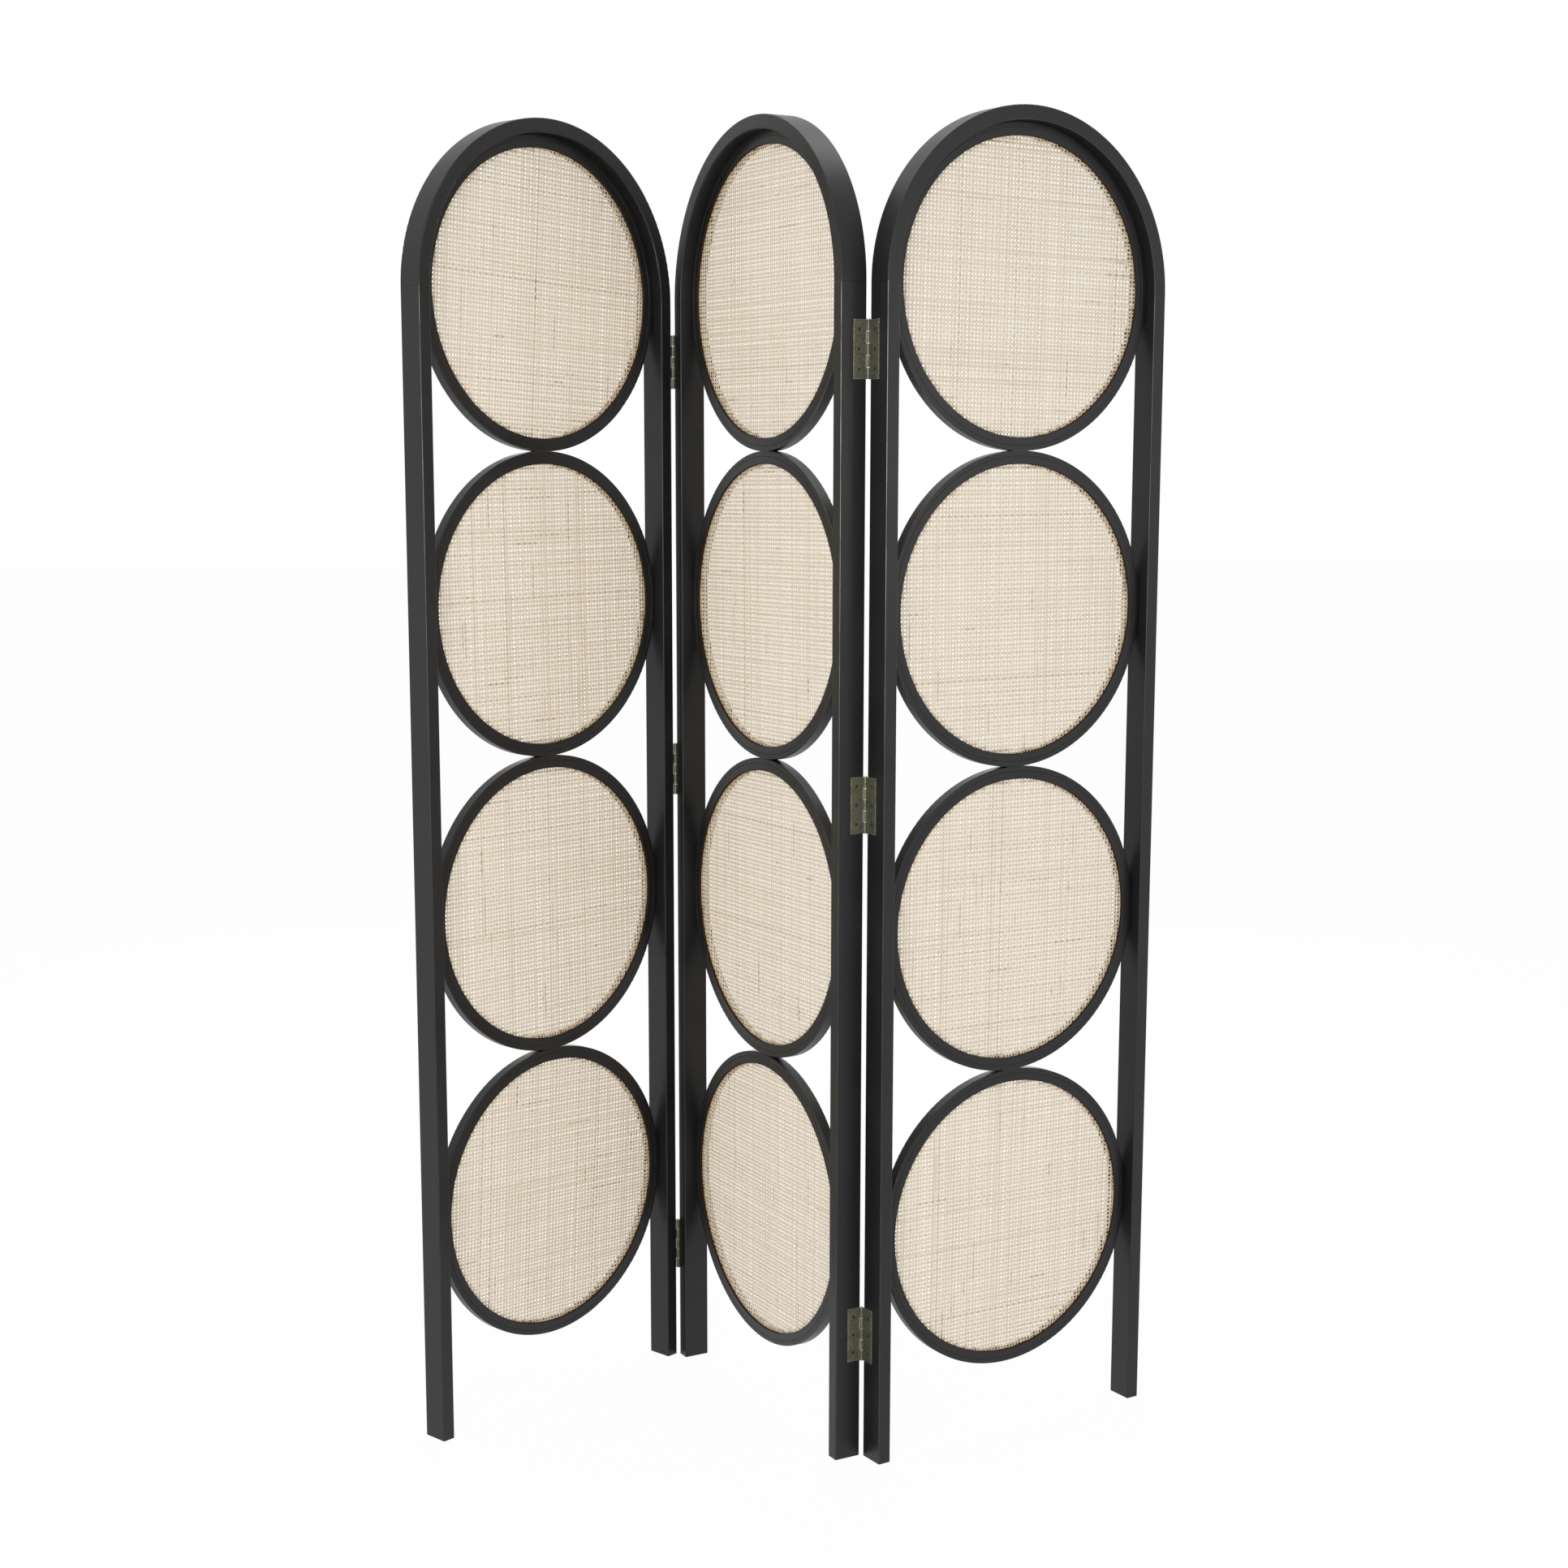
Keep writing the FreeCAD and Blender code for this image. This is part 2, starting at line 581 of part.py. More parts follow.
failed = [item.Label for item in doc.Objects if {"Invalid", "Error"} & set(item.State)]
failed += [piece.Label for piece in pieces if piece.Shape.isNull() or not piece.Shape.isValid()]
if failed:
    raise RuntimeError(f"these did not build: {failed}")

os.makedirs("parts", exist_ok=True)
for piece in pieces:
    piece.Shape.exportStep(f"parts/{piece.Label}.step")
for fold, side, edge in (("left_fold", "left", "front"), ("right_fold", "right", "back")):
    axis = places["middle"].multVec(leaf_place(side, edge, "hinge_low").Base)
    print(fold, "axis at", round(axis.x, 4), round(axis.y, 4))
print(len(pieces), "pieces,", round(number("screen_height"), 2), "mm high")
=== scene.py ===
"""Looks of a folding screen: satin black frames, discs of woven cane and aged brass hinges."""
import json
import math
import random
from collections import namedtuple

import bpy
import numpy as np
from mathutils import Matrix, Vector

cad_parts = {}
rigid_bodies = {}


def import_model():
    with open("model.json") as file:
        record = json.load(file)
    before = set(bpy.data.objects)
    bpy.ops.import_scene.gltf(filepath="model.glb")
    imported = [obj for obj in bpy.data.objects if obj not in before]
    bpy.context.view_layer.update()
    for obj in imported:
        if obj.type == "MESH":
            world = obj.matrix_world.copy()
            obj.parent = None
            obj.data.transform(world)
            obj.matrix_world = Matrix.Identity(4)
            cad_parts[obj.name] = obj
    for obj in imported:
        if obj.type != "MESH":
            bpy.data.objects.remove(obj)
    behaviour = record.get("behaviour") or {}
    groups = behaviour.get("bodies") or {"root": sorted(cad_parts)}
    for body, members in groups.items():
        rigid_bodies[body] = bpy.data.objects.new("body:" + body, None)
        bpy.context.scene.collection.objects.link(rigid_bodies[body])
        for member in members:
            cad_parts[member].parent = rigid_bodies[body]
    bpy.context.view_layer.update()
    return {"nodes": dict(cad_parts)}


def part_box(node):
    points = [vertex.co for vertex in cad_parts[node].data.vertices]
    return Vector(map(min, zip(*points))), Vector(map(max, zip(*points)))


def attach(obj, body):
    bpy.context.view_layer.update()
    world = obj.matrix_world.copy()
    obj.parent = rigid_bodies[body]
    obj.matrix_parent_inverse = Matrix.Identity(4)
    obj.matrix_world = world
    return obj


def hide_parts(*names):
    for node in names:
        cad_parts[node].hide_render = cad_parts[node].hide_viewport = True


MM = 0.001
UP = Vector((0, 0, 1))
WHITE = (1.0, 1.0, 1.0, 1.0)
PANELS = ("left", "middle", "right")
SIDES = ("left", "right")
HOOPS = (1, 2, 3, 4)

Strands = namedtuple("Strands", "pitch width jitter tone spread streaked")
Noise = namedtuple("Noise", "scale detail roughness", defaults=(0.5,))
Relief = namedtuple("Relief", "strength distance")
Lamp = namedtuple("Lamp", "name place target size watts")

# Cane webbing: flat strands in an open plain weave, the level ones a little further apart and more even.
# Jitter is a share of the pitch, tone and spread are for the strands' lightness, and streaked is the share of
# strands with a dark streak.
LEVEL = Strands(5.7 * MM, 3.25 * MM, jitter=0.03, tone=0.77, spread=0.022, streaked=0.14)
UPRIGHT = Strands(5.2 * MM, 3.2 * MM, jitter=0.055, tone=0.83, spread=0.038, streaked=0.3)
# A strand's flat section, as shares of its half width and half thickness
SECTION_SHARES = ((-1.0, 0.0), (-0.55, 1.0), (0.55, 1.0), (1.0, 0.0), (0.55, -1.0), (-0.55, -1.0))
STRAND_THICKNESS = 0.45 * MM
WIDTH_SHARES = (0.88, 1.12)
WEAVE_RISE = 0.27 * MM
# A crossing nearer to a strand's end than this share of the pitch is left out
END_SHARE = 0.25
# A strand's slow wander to either side: how far, and the wave's length in metres to a radian
WANDER = 0.35 * MM
WANDER_LENGTHS = (0.05, 0.16)
# How far each disc's weave is turned from level, in degrees, top hoop first; three are a quarter turn round
WEAVE_TURNS = {
    "left": (-3.1, 0.8, 0.1, 87.2),
    "middle": (89.8, 0.6, 0.4, 0.0),
    "right": (88.9, 0.3, -0.4, -0.7),
}

# What darkens a strand: brown all along, a short streak (depths least, most, likeliest), painted shade near
# the rim
BROWN_SHARE, BROWN_DEPTHS = 0.04, (0.06, 0.14)
STREAK_POINTS, STREAK_DEPTHS = (2, 10), (0.04, 0.32, 0.08)
RIM_SHADE_REACH, RIM_SHADE_DEPTH = 14.0 * MM, 0.22

# Natural rattan, from dark to light, with the shares of fibres and clouds in its lightness
CANE_TONES = ((0.0, (0.085, 0.05, 0.022)), (0.3, (0.3, 0.2, 0.105)), (0.55, (0.56, 0.45, 0.32)),
              (0.8, (0.765, 0.665, 0.52)), (1.0, (0.85, 0.775, 0.645)))
CANE_FIBRES, CANE_CLOUDS = Noise(1500.0, 3.0, 0.6), Noise(14.0, 2.0)
CANE_SHARES = (0.16, 0.12)
CANE_ROUGHNESS = 0.52
CANE_RELIEF = Relief(0.3, 0.1 * MM)

# Satin black paint over wood grain, with the shares of fibres and clouds in its tone, and of fibres and dust
# in its relief
PAINT_TONES = ((0.3, (0.0065, 0.0065, 0.007)), (0.55, (0.0095, 0.0095, 0.0098)),
               (0.75, (0.0145, 0.0135, 0.0125)))
PAINT_FIBRES, PAINT_CLOUDS, PAINT_DUST = Noise(900.0, 4.0, 0.6), Noise(9.0, 3.0), Noise(700.0, 2.0)
TONE_SHARES, RELIEF_SHARES = (0.45, 0.55), (0.7, 0.3)
CLOUD_SPAN, PAINT_ROUGHNESS, DUST_ROUGHNESS = (0.3, 0.7), (0.27, 0.36), 0.1
PAINT_GLOSS = 0.34
PAINT_RELIEF = Relief(0.12, 0.3 * MM)
# The grain's scale along a post, and round a hoop in metres to a radian
POST_GRAIN = 0.025
ROUND_GRAIN = 0.005

# Painted highlight on rounded edges, a pale line where the lamps would glint: how far on each kind of piece
# and on each panel's left and right post, most on the posts whose edges catch the light
EDGE_HIGHLIGHT_PAINT = (0.45, 0.44, 0.42, 1.0)
HOOP_EDGE_HIGHLIGHT, ARCH_EDGE_HIGHLIGHT, RING_EDGE_HIGHLIGHT = 0.25, 0.05, 0.2
POST_EDGE_HIGHLIGHT = {"left": (0.45, 0.05), "middle": (0.05, 1.0), "right": (0.9, 0.25)}
# The cosines that tell a rounded edge from a face, the painted highlight's patches, and the heights that it
# grows over, up where the light catches the edges
EDGE_COSINES = (0.93, 0.76)
HIGHLIGHT_PATCHES, PATCH_SPAN, PATCH_SHARES = Noise(22.0, 3.0), (0.35, 0.65), (0.35, 1.0)
HIGHLIGHT_HEIGHTS, HIGHLIGHT_BY_HEIGHT = (0.95, 1.35), (0.12, 1.0)

# Painted bounce light: the hoops' and rings' walls brown, as if lit from the cane in their shade; it also
# dulls the paint
BROWN_BOUNCE_LIGHT = (0.03, 0.016, 0.006, 1.0)
BOUNCE_WALL_ROUGHNESS, BOUNCE_WALL_GLOSS = 0.45, 0.08
WALL_COSINE = 0.95

# Aged brass, from patina to worn metal, with a cast from tarnish, and the shares of borders and faces in its
# wear and highlight; the borders are lighter partly from wear and partly from a painted highlight
BRASS_TONES = ((0.0, (0.08, 0.078, 0.06)), (0.5, (0.14, 0.136, 0.104)), (1.0, (0.48, 0.465, 0.36)))
TARNISH_TONES = ((0.38, (0.76, 0.82, 0.84)), (0.5, (0.95, 0.97, 0.93)), (0.62, (1.03, 1.0, 0.78)))
BRASS_PATCHES, BRASS_TARNISH = Noise(380.0, 5.0, 0.65), Noise(95.0, 2.0)
BRASS_SCRATCHES = Noise(2600.0, 2.0, 0.7)
SCRATCH_TURN, SCRATCH_STRETCH = (0.5, 0.3, 0.2), (1.0, 1.0, 0.05)
SCRATCH_SPAN, PATINA_SPAN, SCRATCH_SHARE = (0.56, 0.7), (0.42, 0.75), 0.45
BORDER_RADIUS, BORDER_SAMPLES, BORDER_COSINES = 1.6 * MM, 8, (0.985, 0.85)
HIGHLIGHT_AND_WEAR_SHARES = (0.8, 0.6)
BRASS_ROUGHNESS, BRASS_METALLIC = (0.55, 0.36), 0.8
BRASS_RELIEF = Relief(0.25, 0.1 * MM)
# By a word in the nodes' names: the material, and how much lighter its tones are
FITTINGS = {"_leaf_": ("brass_leaf", 1.4), "_screws_": ("brass_screw", 0.35), "_pins": ("brass_pin", 1.9)}

# Pale hardwood, for the dowels inside the frames
WOOD_TONES = ((0.3, (0.36, 0.22, 0.11)), (0.7, (0.56, 0.39, 0.22)))
WOOD_FIBRES = Noise(800.0, 3.0)
WOOD_ROUGHNESS = 0.6
WOOD_RELIEF = Relief(0.2, 0.1 * MM)

# Camera, from a fit to the photograph's feet, arches and hoops
PHOTO_SIDE = 1932
SENSOR_WIDTH = 36.0
FOCAL_PIXELS = 2959.8
CAMERA_PLACE = Vector((-566.9, -3266.0, 1337.2)) * MM
CAMERA_HEADING = math.radians(-9.318)
CAMERA_PITCH = math.radians(9.038)
SHIFT_PIXELS = (27.23, 81.01)

# Lamps, and white surroundings: FLOOR_GLOW is the share of plain white in the floor as the camera sees it,
# and the rest keeps the shadow
LAMPS = (
    Lamp("key", (-1.45, -3.3, 1.4), (0, 0, 1.0), (2.2, 1.0), 66),
    Lamp("fill", (2.55, -1.95, 1.4), (0, -0.2, 1.3), (0.6, 0.6), 4),
    Lamp("top", (0.2, 0.4, 4.2), (0, 0, 0.9), (2.5, 2.5), 40),
    Lamp("back", (0.6, 3.6, 1.6), (0, 0, 1.0), (3.0, 1.6), 30),
)
WORLD_STRENGTH = 0.48
FLOOR_SIZE = 60
FLOOR_WHITE, FLOOR_ROUGHNESS = (0.92, 0.92, 0.92, 1.0), 0.9
FLOOR_GLOW = 0.97

for leftover in list(bpy.data.objects):
    bpy.data.objects.remove(leftover)
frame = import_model()
nodes = frame["nodes"]


class Graph:
    """Short forms for building the node tree of a material or a world."""

    def __init__(self, owner):
        owner.use_nodes = True
        self.owner = owner
        self.tree = owner.node_tree

    def add(self, kind, inputs=None, **settings):
        node = self.tree.nodes.new(kind)
        for key, value in settings.items():
            setattr(node, key, value)
        for key, value in (inputs or {}).items():
            self.feed(node.inputs[key], value)
        return node

    def feed(self, socket, value):
        """Link a socket to an output, or set its value."""
        if isinstance(value, bpy.types.NodeSocket):
            self.tree.links.new(value, socket)
        else:
            socket.default_value = value

    def place(self):
        """The place on a piece, in the piece's own frame."""
        return self.add("ShaderNodeTexCoord").outputs["Object"]

    def math(self, operation, *values):
        node = self.add("ShaderNodeMath", operation=operation)
        for socket, value in zip(node.inputs, values):
            self.feed(socket, value)
        return node.outputs[0]

    def weighted(self, first, second, shares):
        """The sum of two values, each times its share."""
        return self.math("MULTIPLY_ADD", first, shares[0], self.math("MULTIPLY", second, shares[1]))

    def vector(self, operation, *vectors):
        node = self.add("ShaderNodeVectorMath", dict(enumerate(vectors)), operation=operation)
        return node.outputs["Value" if operation in ("DOT_PRODUCT", "LENGTH") else "Vector"]

    def noise(self, vector, kind):
        inputs = {"Vector": vector, "Scale": kind.scale, "Detail": kind.detail, "Roughness": kind.roughness}
        return self.add("ShaderNodeTexNoise", inputs).outputs["Fac"]

    def between(self, value, span, ends=(0.0, 1.0)):
        """Map a value from one span to another, clamped."""
        inputs = {"Value": value, "From Min": span[0], "From Max": span[1],
                  "To Min": ends[0], "To Max": ends[1]}
        return self.add("ShaderNodeMapRange", inputs).outputs["Result"]

    def ramp(self, value, stops):
        node = self.add("ShaderNodeValToRGB", {"Fac": value})
        points = node.color_ramp.elements
        while len(points) < len(stops):
            points.new(0.5)
        for point, (place, color) in zip(points, stops):
            point.position = place
            point.color = (*color, 1.0)
        return node.outputs["Color"]

    def blend(self, share, first, second, how="MIX"):
        node = self.add("ShaderNodeMix", data_type="RGBA", blend_type=how)
        for name, value in (("Factor_Float", share), ("A_Color", first), ("B_Color", second)):
            self.feed(next(socket for socket in node.inputs if socket.identifier == name), value)
        return next(socket for socket in node.outputs if socket.identifier == "Result_Color")

    def bump(self, height, relief):
        inputs = {"Height": height, "Strength": relief.strength, "Distance": relief.distance}
        return self.add("ShaderNodeBump", inputs).outputs["Normal"]

    def surface(self, **inputs):
        """Set the inputs of a material's own shader, named with underscores for spaces."""
        shader = self.tree.nodes["Principled BSDF"]
        for key, value in inputs.items():
            self.feed(shader.inputs[key.replace("_", " ")], value)
        return shader.outputs[0]

    def seen_directly(self):
        """1 for camera, glossy and transmission rays."""
        rays = self.add("ShaderNodeLightPath").outputs
        seen = self.math("MAXIMUM", rays["Is Camera Ray"], rays["Is Glossy Ray"])
        return self.math("MAXIMUM", seen, rays["Is Transmission Ray"])

    def show(self, output, share, first, second):
        """Show a mix of two shaders at a named output node."""
        mixer = self.add("ShaderNodeMixShader", {0: share, 1: first, 2: second})
        self.feed(self.tree.nodes[output].inputs["Surface"], mixer.outputs[0])


def middle_of(node):
    low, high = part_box(node)
    return (low + high) / 2


def panel_axes(panel):
    """A panel's width direction and its depth direction, front to back."""
    across = middle_of(f"{panel}_right_post") - middle_of(f"{panel}_left_post")
    across.z = 0
    across.normalize()
    return across, Vector((-across.y, across.x, 0))


def satin_paint(name, grain, depth, highlight_share, bounce_walls=None):
    """Satin black paint on wood: faint grain along the piece, a soft cloudy sheen, a painted highlight on
    rounded edges, and painted brown bounce light on the walls it is given.
    """
    graph = Graph(bpy.data.materials.new(name))
    coordinates = graph.add("ShaderNodeTexCoord").outputs
    place = coordinates["Object"]
    fibres = graph.noise(grain(graph, place), PAINT_FIBRES)
    clouds = graph.noise(place, PAINT_CLOUDS)
    dust = graph.noise(place, PAINT_DUST)
    black = graph.ramp(graph.weighted(fibres, clouds, TONE_SHARES), PAINT_TONES)
    # Painted highlight: a pale line on the rounded edges, patchy and mostly high up
    edges = graph.math("MULTIPLY", rounded(graph, coordinates["Normal"], depth), highlight_share)
    color = graph.blend(graph.math("MULTIPLY", edges, highlight_spread(graph, place)), black, EDGE_HIGHLIGHT_PAINT)
    cloudy = graph.between(clouds, CLOUD_SPAN, PAINT_ROUGHNESS)
    sheen = graph.math("MULTIPLY_ADD", dust, DUST_ROUGHNESS, cloudy)
    gloss = PAINT_GLOSS
    # Painted bounce light: the walls brown, as if lit by light from the cane, and duller
    if bounce_walls:
        bounce_light = bounce_walls(graph, coordinates, depth)
        color = graph.blend(bounce_light, color, BROWN_BOUNCE_LIGHT)
        sheen = graph.math("MULTIPLY_ADD", bounce_light, BOUNCE_WALL_ROUGHNESS, sheen)
        gloss = graph.between(bounce_light, (0.0, 1.0), (PAINT_GLOSS, BOUNCE_WALL_GLOSS))
    normal = graph.bump(graph.weighted(fibres, dust, RELIEF_SHARES), PAINT_RELIEF)
    graph.surface(Base_Color=color, Roughness=sheen, Specular_IOR_Level=gloss, Normal=normal)
    return graph.owner


def rounded(graph, normal, depth):
    """How far a surface belongs to a rounded edge: 1 half way between face and side, 0 on either."""
    facing = graph.math("ABSOLUTE", graph.vector("DOT_PRODUCT", normal, depth))
    aside = graph.math("SQRT", graph.math("SUBTRACT", 1.0, graph.math("POWER", facing, 2.0)))
    return graph.between(graph.math("MAXIMUM", facing, aside), EDGE_COSINES)


def highlight_spread(graph, place):
    """Where the painted edge highlight shows: patchy, and most of it above waist height, where the light
    catches the edges.
    """
    height = graph.add("ShaderNodeSeparateXYZ", {"Vector": place}).outputs["Z"]
    patches = graph.between(graph.noise(place, HIGHLIGHT_PATCHES), PATCH_SPAN, PATCH_SHARES)
    return graph.math("MULTIPLY", patches, graph.between(height, HIGHLIGHT_HEIGHTS, HIGHLIGHT_BY_HEIGHT))


def walls(graph, coordinates, depth):
    """1 on walls that stand square to the panel's face, and on the rounded edges next to them."""
    facing = graph.math("ABSOLUTE", graph.vector("DOT_PRODUCT", coordinates["Normal"], depth))
    return graph.math("LESS_THAN", facing, WALL_COSINE)


def inner_wall(centre, radius):
    """The walls of a hoop that are within a radius of its centre, which get the painted bounce light."""

    def bounce_walls(graph, coordinates, depth):
        offset = graph.vector("SUBTRACT", coordinates["Object"], centre)
        reach = graph.vector("LENGTH", graph.vector("CROSS_PRODUCT", offset, depth))
        within = graph.math("LESS_THAN", reach, radius)
        return graph.math("MULTIPLY", within, walls(graph, coordinates, depth))

    return bounce_walls


def straight_grain(graph, place):
    """Grain that runs up a post."""
    stretch = {"Vector": place, "Scale": (1.0, 1.0, POST_GRAIN)}
    return graph.add("ShaderNodeMapping", stretch).outputs["Vector"]


def round_grain(centre, across, depth):
    """Grain that runs round a centre, for arches and hoops."""

    def grain(graph, place):
        offset = graph.vector("SUBTRACT", place, centre)
        side, rise = graph.vector("DOT_PRODUCT", offset, across), graph.vector("DOT_PRODUCT", offset, UP)
        turn = graph.math("ARCTAN2", rise, side)
        squares = graph.math("ADD", graph.math("POWER", side, 2.0), graph.math("POWER", rise, 2.0))
        inputs = {"X": graph.math("MULTIPLY", turn, ROUND_GRAIN), "Y": graph.math("SQRT", squares),
                  "Z": graph.vector("DOT_PRODUCT", offset, depth)}
        return graph.add("ShaderNodeCombineXYZ", inputs).outputs["Vector"]

    return grain


def aged_brass(name, lift):
    """Brass with a dull patina, brighter on its borders from wear and a painted highlight, and worn in fine
    scratches and cloudy patches.
    """
    graph = Graph(bpy.data.materials.new(name))
    place = graph.place()
    patches = graph.noise(place, BRASS_PATCHES)
    stretch = {"Vector": place, "Rotation": SCRATCH_TURN, "Scale": SCRATCH_STRETCH}
    scratches = graph.noise(graph.add("ShaderNodeMapping", stretch).outputs["Vector"], BRASS_SCRATCHES)
    worn = graph.math("MULTIPLY_ADD", graph.between(scratches, SCRATCH_SPAN), SCRATCH_SHARE,
                      graph.between(patches, PATINA_SPAN))
    # Borders brighter: partly wear, partly a painted highlight where the edges would catch the light
    soft = graph.add("ShaderNodeBevel", {"Radius": BORDER_RADIUS}, samples=BORDER_SAMPLES).outputs["Normal"]
    facing = graph.vector("DOT_PRODUCT", soft, graph.add("ShaderNodeNewGeometry").outputs["Normal"])
    wear_and_highlight = graph.weighted(graph.between(facing, BORDER_COSINES), worn, HIGHLIGHT_AND_WEAR_SHARES)
    metal = graph.ramp(wear_and_highlight, [(stop, [channel * lift for channel in color]) for stop, color in BRASS_TONES])
    tarnish = graph.ramp(graph.noise(place, BRASS_TARNISH), TARNISH_TONES)
    graph.surface(Base_Color=graph.blend(1.0, metal, tarnish, "MULTIPLY"), Metallic=BRASS_METALLIC,
                  Roughness=graph.between(wear_and_highlight, (0.0, 1.0), BRASS_ROUGHNESS),
                  Normal=graph.bump(graph.math("ADD", patches, scratches), BRASS_RELIEF))
    return graph.owner


def bare_wood(name):
    """Pale hardwood with fine fibres."""
    graph = Graph(bpy.data.materials.new(name))
    fibres = graph.noise(graph.place(), WOOD_FIBRES)
    graph.surface(Base_Color=graph.ramp(fibres, WOOD_TONES), Roughness=WOOD_ROUGHNESS,
                  Normal=graph.bump(fibres, WOOD_RELIEF))
    return graph.owner


def cane(name):
    """Natural rattan: each strand's own lightness, with fine fibres and soft clouds."""
    graph = Graph(bpy.data.materials.new(name))
    place = graph.place()
    tone = graph.add("ShaderNodeAttribute", attribute_name="tone").outputs["Fac"]
    fibres = graph.noise(place, CANE_FIBRES)
    clouds = graph.noise(place, CANE_CLOUDS)
    drift = graph.math("SUBTRACT", graph.weighted(fibres, clouds, CANE_SHARES), sum(CANE_SHARES) / 2)
    color = graph.ramp(graph.math("ADD", tone, drift), CANE_TONES)
    graph.surface(Base_Color=color, Roughness=CANE_ROUGHNESS, Normal=graph.bump(fibres, CANE_RELIEF))
    return graph.owner


def strand_tones(chance, count, kind):
    """Lightness along one strand: its own tone, perhaps brown all along, and perhaps a short dark streak."""
    tones = np.full(count, chance.gauss(kind.tone, kind.spread))
    if chance.random() < BROWN_SHARE:
        tones -= chance.uniform(*BROWN_DEPTHS)
    if chance.random() < kind.streaked:
        start = chance.randrange(count)
        end = start + chance.randint(*STREAK_POINTS)
        tones[start:end] -= chance.triangular(*STREAK_DEPTHS)
    return tones


def strand(chance, radius, offset, kind, crossings, over):
    """One strand at an offset from the disc's middle: points (along, aside, out), ring by ring, and tones."""
    half = math.sqrt(radius ** 2 - offset ** 2)
    inside = np.abs(crossings) < half - kind.pitch * END_SHARE
    along = np.concatenate(([-half], crossings[inside], [half]))
    rise = np.concatenate(([0.0], over[inside] * WEAVE_RISE, [0.0]))
    wave, phase = chance.uniform(*WANDER_LENGTHS), chance.uniform(0, math.tau)
    aside = offset + WANDER * np.sin(along / wave + phase)
    side, thick = kind.width * chance.uniform(*WIDTH_SHARES) / 2, STRAND_THICKNESS / 2
    rings = np.stack([np.stack([along, aside + side * shift, rise + thick * lift], 1)
                      for shift, lift in SECTION_SHARES], 1)
    tones = strand_tones(chance, len(along), kind)
    # Painted shade: strands darker near the rim, where the hoop's recess shades them
    tones[np.hypot(along, offset) > radius - RIM_SHADE_REACH] -= RIM_SHADE_DEPTH
    return rings, np.repeat(tones, len(SECTION_SHARES))


def tube_faces(first, rings):
    """Quads round a tube of rings, with both ends closed."""
    sides = len(SECTION_SHARES)
    faces = []
    for low in range(first, first + sides * (rings - 1), sides):
        for corner in range(sides):
            beside = (corner + 1) % sides
            faces.append((low + corner, low + beside, low + sides + beside, low + sides + corner))
    last = first + sides * (rings - 1)
    return faces + [tuple(reversed(range(first, first + sides))), tuple(range(last, last + sides))]


def woven_disc(panel, index, material):
    """Cane webbing in place of the CAD's coarse grid: strands both ways, each over one and under the next."""
    node = f"{panel}_webbing_{index}"
    low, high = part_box(node)
    centre, radius = (low + high) / 2, (high.z - low.z) / 2
    across, depth = panel_axes(panel)
    turn = math.radians(WEAVE_TURNS[panel][index - 1])
    level = across * math.cos(turn) + UP * math.sin(turn)
    upright = UP * math.cos(turn) - across * math.sin(turn)
    chance = random.Random(node)
    ways = ((level, upright, LEVEL), (upright, level, UPRIGHT))
    lines = []
    for _, _, kind in ways:
        count = int(radius / kind.pitch)
        steps = range(-count, count + 1)
        lines.append(np.array([(step + chance.gauss(0, kind.jitter)) * kind.pitch for step in steps]))
    points, faces, tones = [], [], []
    filled = 0
    for way, (main, side, kind) in enumerate(ways):
        axes = np.array((main, side, -depth))
        crossings = lines[1 - way]
        for number, offset in enumerate(lines[way]):
            if abs(offset) > radius - kind.pitch:
                continue
            over = np.where((np.arange(len(crossings)) + number + way) % 2, 1.0, -1.0)
            rings, shades = strand(chance, radius, offset, kind, crossings, over)
            points.append(rings.reshape(-1, 3) @ axes)
            tones.append(shades)
            faces += tube_faces(filled, len(rings))
            filled += len(shades)
    mesh = bpy.data.meshes.new(f"{panel}_cane_{index}")
    mesh.from_pydata(np.concatenate(points) + np.array(centre), [], faces)
    mesh.attributes.new("tone", "FLOAT", "POINT").data.foreach_set("value", np.concatenate(tones))
    mesh.materials.append(material)
    piece = bpy.data.objects.new(f"{panel}_cane_{index}", mesh)
    bpy.context.scene.collection.objects.link(piece)
    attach(piece, f"{panel}_panel")
    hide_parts(node)


def dress(node, material):
    """Give a CAD node's object one material."""
    nodes[node].data.materials.clear()
    nodes[node].data.materials.append(material)


def dress_frames():
    """Paint posts, hoops, arches and rings; the arch is round the same centre as the top hoop."""
    for panel in PANELS:
        across, depth = panel_axes(panel)
        # Each post's share of the painted edge highlight
        for side, highlight_share in zip(SIDES, POST_EDGE_HIGHLIGHT[panel]):
            post = f"{panel}_{side}_post"
            dress(post, satin_paint(f"black_paint_{post}", straight_grain, depth, highlight_share))
        for index in HOOPS:
            hoop = f"{panel}_hoop_{index}"
            middle = middle_of(hoop)
            grain = round_grain(middle, across, depth)
            # The hoop's inner walls get painted brown bounce light
            inside = inner_wall(middle, middle.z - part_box(f"{panel}_webbing_{index}")[0].z)
            dress(hoop, satin_paint(f"black_paint_{hoop}", grain, depth, HOOP_EDGE_HIGHLIGHT, inside))
            if index == HOOPS[0]:
                dress(f"{panel}_arch", satin_paint(f"black_paint_{panel}_arch", grain, depth, ARCH_EDGE_HIGHLIGHT))
        # The rings' walls get painted brown bounce light
        rings = satin_paint(f"black_paint_{panel}_rings", straight_grain, depth, RING_EDGE_HIGHLIGHT, walls)
        dress(f"{panel}_retaining_rings", rings)


def dress_hardware():
    materials = {word: aged_brass(name, lift) for word, (name, lift) in FITTINGS.items()}
    materials["_dowels"] = bare_wood("dowel_wood")
    for node in nodes:
        for word, material in materials.items():
            if word in node:
                dress(node, material)


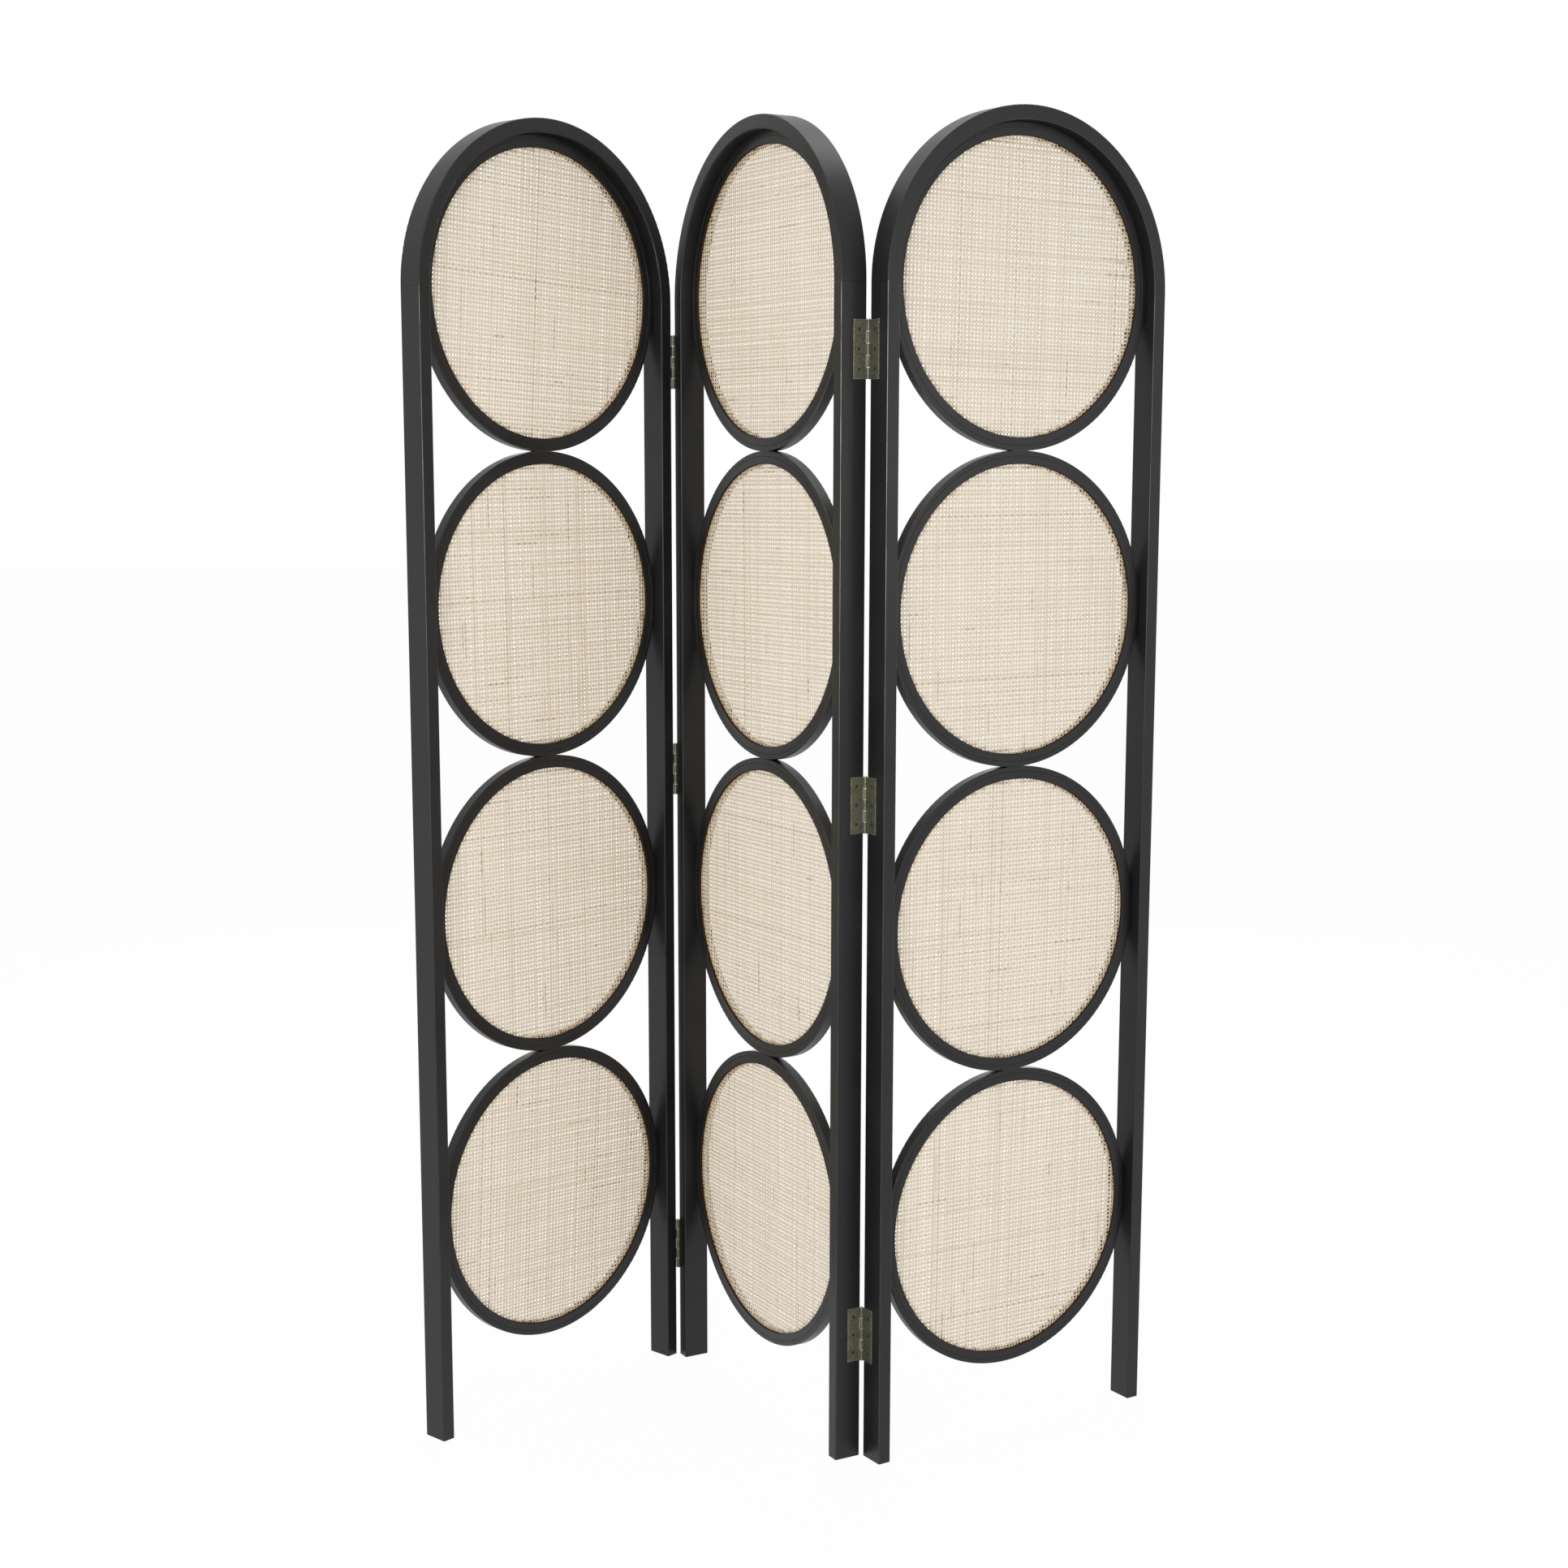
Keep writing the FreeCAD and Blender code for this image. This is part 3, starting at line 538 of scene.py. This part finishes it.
def add_camera():
    data = bpy.data.cameras.new("camera")
    data.sensor_width = SENSOR_WIDTH
    data.lens = SENSOR_WIDTH * FOCAL_PIXELS / PHOTO_SIDE
    data.shift_x, data.shift_y = (pixels / PHOTO_SIDE for pixels in SHIFT_PIXELS)
    camera = bpy.data.objects.new("camera", data)
    camera.location = CAMERA_PLACE
    camera.rotation_euler = (math.pi / 2 - CAMERA_PITCH, 0, CAMERA_HEADING)
    bpy.context.scene.collection.objects.link(camera)
    bpy.context.scene.camera = camera


def add_lamp(lamp):
    data = bpy.data.lights.new(lamp.name, "AREA")
    data.shape = "RECTANGLE"
    data.size, data.size_y = lamp.size
    data.energy = lamp.watts
    light = bpy.data.objects.new(lamp.name, data)
    light.location = lamp.place
    light.rotation_euler = (Vector(lamp.target) - Vector(lamp.place)).to_track_quat("-Z", "Y").to_euler()
    bpy.context.scene.collection.objects.link(light)


def add_floor():
    """A floor that looks white and keeps a faint shadow."""
    bpy.ops.mesh.primitive_plane_add(size=FLOOR_SIZE)
    floor = bpy.context.object
    floor.name = "floor"
    graph = Graph(bpy.data.materials.new("floor_white"))
    plain = graph.surface(Base_Color=FLOOR_WHITE, Roughness=FLOOR_ROUGHNESS)
    glow = graph.add("ShaderNodeEmission", {"Color": WHITE, "Strength": 1.0}).outputs[0]
    share = graph.math("MULTIPLY", graph.seen_directly(), FLOOR_GLOW)
    graph.show("Material Output", share, plain, glow)
    floor.data.materials.append(graph.owner)


def add_world():
    """A world that lights the part softly and looks white."""
    graph = Graph(bpy.data.worlds.new("studio"))
    soft = graph.tree.nodes["Background"]
    graph.feed(soft.inputs["Color"], WHITE)
    graph.feed(soft.inputs["Strength"], WORLD_STRENGTH)
    white = graph.add("ShaderNodeBackground", {"Color": WHITE})
    graph.show("World Output", graph.seen_directly(), soft.outputs[0], white.outputs[0])
    bpy.context.scene.world = graph.owner


dress_frames()
dress_hardware()
rattan = cane("rattan")
for panel in PANELS:
    for index in HOOPS:
        woven_disc(panel, index, rattan)

bpy.context.scene.view_settings.view_transform = "Standard"
add_camera()
for lamp in LAMPS:
    add_lamp(lamp)
add_floor()
add_world()
